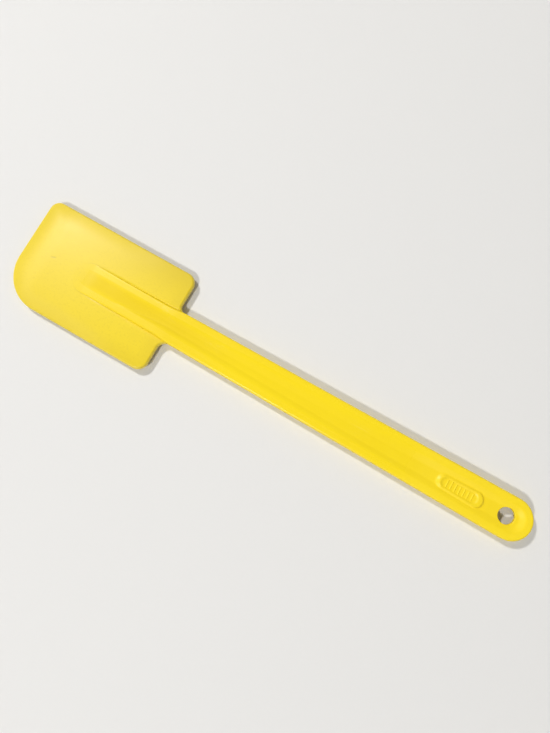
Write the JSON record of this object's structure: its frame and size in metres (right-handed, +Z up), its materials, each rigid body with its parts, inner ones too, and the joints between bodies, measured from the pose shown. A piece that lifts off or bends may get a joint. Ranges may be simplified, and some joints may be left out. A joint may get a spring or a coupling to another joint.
{
  "type": "jar scraper",
  "caption": "Long flat scraper with a flexible rectangular blade, one corner square and one round, on a troughed bar handle with a hang hole.",
  "frame": {"origin": "middle of the object's length and width, on the surface that it lies on", "axes": "+X along the handle towards the blade's tip, +Y across towards the blade's large round corner, +Z up out of the face with the thumb pad"},
  "size_m": [0.25, 0.0488, 0.006],
  "materials": {
    "handle_plastic": "satin moulded yellow",
    "blade_plastic": "fine matt moulded pale yellow"
  },
  "bodies": {
    "handle": {"handle": "handle_plastic"},
    "blade": {"blade": "blade_plastic"}
  },
  "joints": [
    {"name": "blade_flex", "type": "hinge", "parent": "handle", "child": "blade", "pos_m": [0.0485, 0, 0.003], "axis": [0, -1, 0], "range_deg": [0, 30], "stiffness_Nm_per_rad": 0.35, "deforming": ["blade"]}
  ]
}
